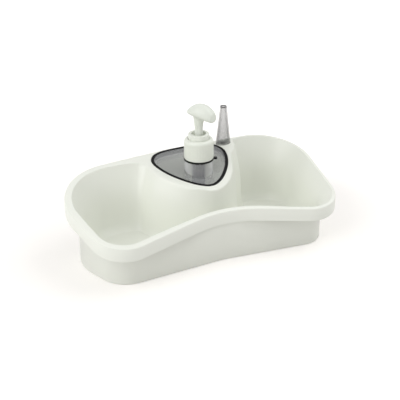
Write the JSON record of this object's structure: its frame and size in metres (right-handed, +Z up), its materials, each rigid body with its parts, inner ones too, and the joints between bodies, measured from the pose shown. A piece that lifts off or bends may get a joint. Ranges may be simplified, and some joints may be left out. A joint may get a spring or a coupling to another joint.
{
  "type": "soap pump caddy",
  "caption": "Kidney-shaped sink caddy with two deep bowls, a soap well under a smoke lid with a lock-down lotion pump, and a ring peg.",
  "frame": {"origin": "centre of the tray's outer length and depth, on the sink top", "axes": "+X to the right along the tray, +Y to the back, away from the waist, +Z up"},
  "size_m": [0.286, 0.149, 0.1462],
  "materials": {
    "ivory_moulding": "polished, slightly green off-white",
    "smoke_moulding": "clear, smoke grey, polished",
    "seal_rubber": "smooth black",
    "black_moulding": "smooth",
    "pump_white": "satin, fine vertical ribs on the closure",
    "natural_plastic": "natural, slightly cloudy",
    "spring_steel": "bright drawn wire and polished balls"
  },
  "bodies": {
    "tray": {"tray": "ivory_moulding", "ring_peg": "smoke_moulding"},
    "lid": {"soap_lid": "smoke_moulding", "lid_seal": "seal_rubber", "closure_ring": "black_moulding", "neck_washer": "natural_plastic"},
    "pump": {"lock_collar": "pump_white", "pump_cylinder": "natural_plastic", "dip_tube": "natural_plastic", "return_spring": "spring_steel"},
    "closure": {"screw_closure": "pump_white"},
    "plunger": {"piston": "natural_plastic", "pump_stem": "pump_white"},
    "head": {"pump_head": "pump_white"},
    "inlet_valve": {"inlet_ball": "spring_steel"},
    "outlet_valve": {"outlet_ball": "spring_steel"}
  },
  "joints": [
    {"name": "lid_lift", "type": "slide", "parent": "tray", "child": "lid", "axis": [0, 0, 1], "range_m": [0, 0.08]},
    {"name": "pump_lift", "type": "slide", "parent": "lid", "child": "pump", "axis": [0, 0, 1], "range_m": [0, 0.0048]},
    {"name": "closure_turn", "type": "hinge", "parent": "pump", "child": "closure", "pos_m": [0.0125, 0.028, 0.08559], "axis": [0, 0, 1], "range_deg": [0, 540]},
    {"name": "head_press", "type": "slide", "parent": "pump", "child": "plunger", "axis": [0, 0, -1], "range_m": [0, 0.014], "stiffness_N_per_m": 250, "springref_m": -0.02, "deforming": ["return_spring"]},
    {"name": "head_turn", "type": "hinge", "parent": "plunger", "child": "head", "pos_m": [0.0125, 0.028, 0.12849], "axis": [0, 0, 1], "continuous": true},
    {"name": "inlet_ball_lift", "type": "slide", "parent": "pump", "child": "inlet_valve", "axis": [0, 0, 1], "range_m": [0, 0.0019]},
    {"name": "outlet_ball_lift", "type": "slide", "parent": "plunger", "child": "outlet_valve", "axis": [0, 0, 1], "range_m": [0, 0.0019]}
  ],
  "couplings": [
    {"joint": "pump_lift", "follows": "closure_turn", "m_per_rad": 0.00050611}
  ]
}
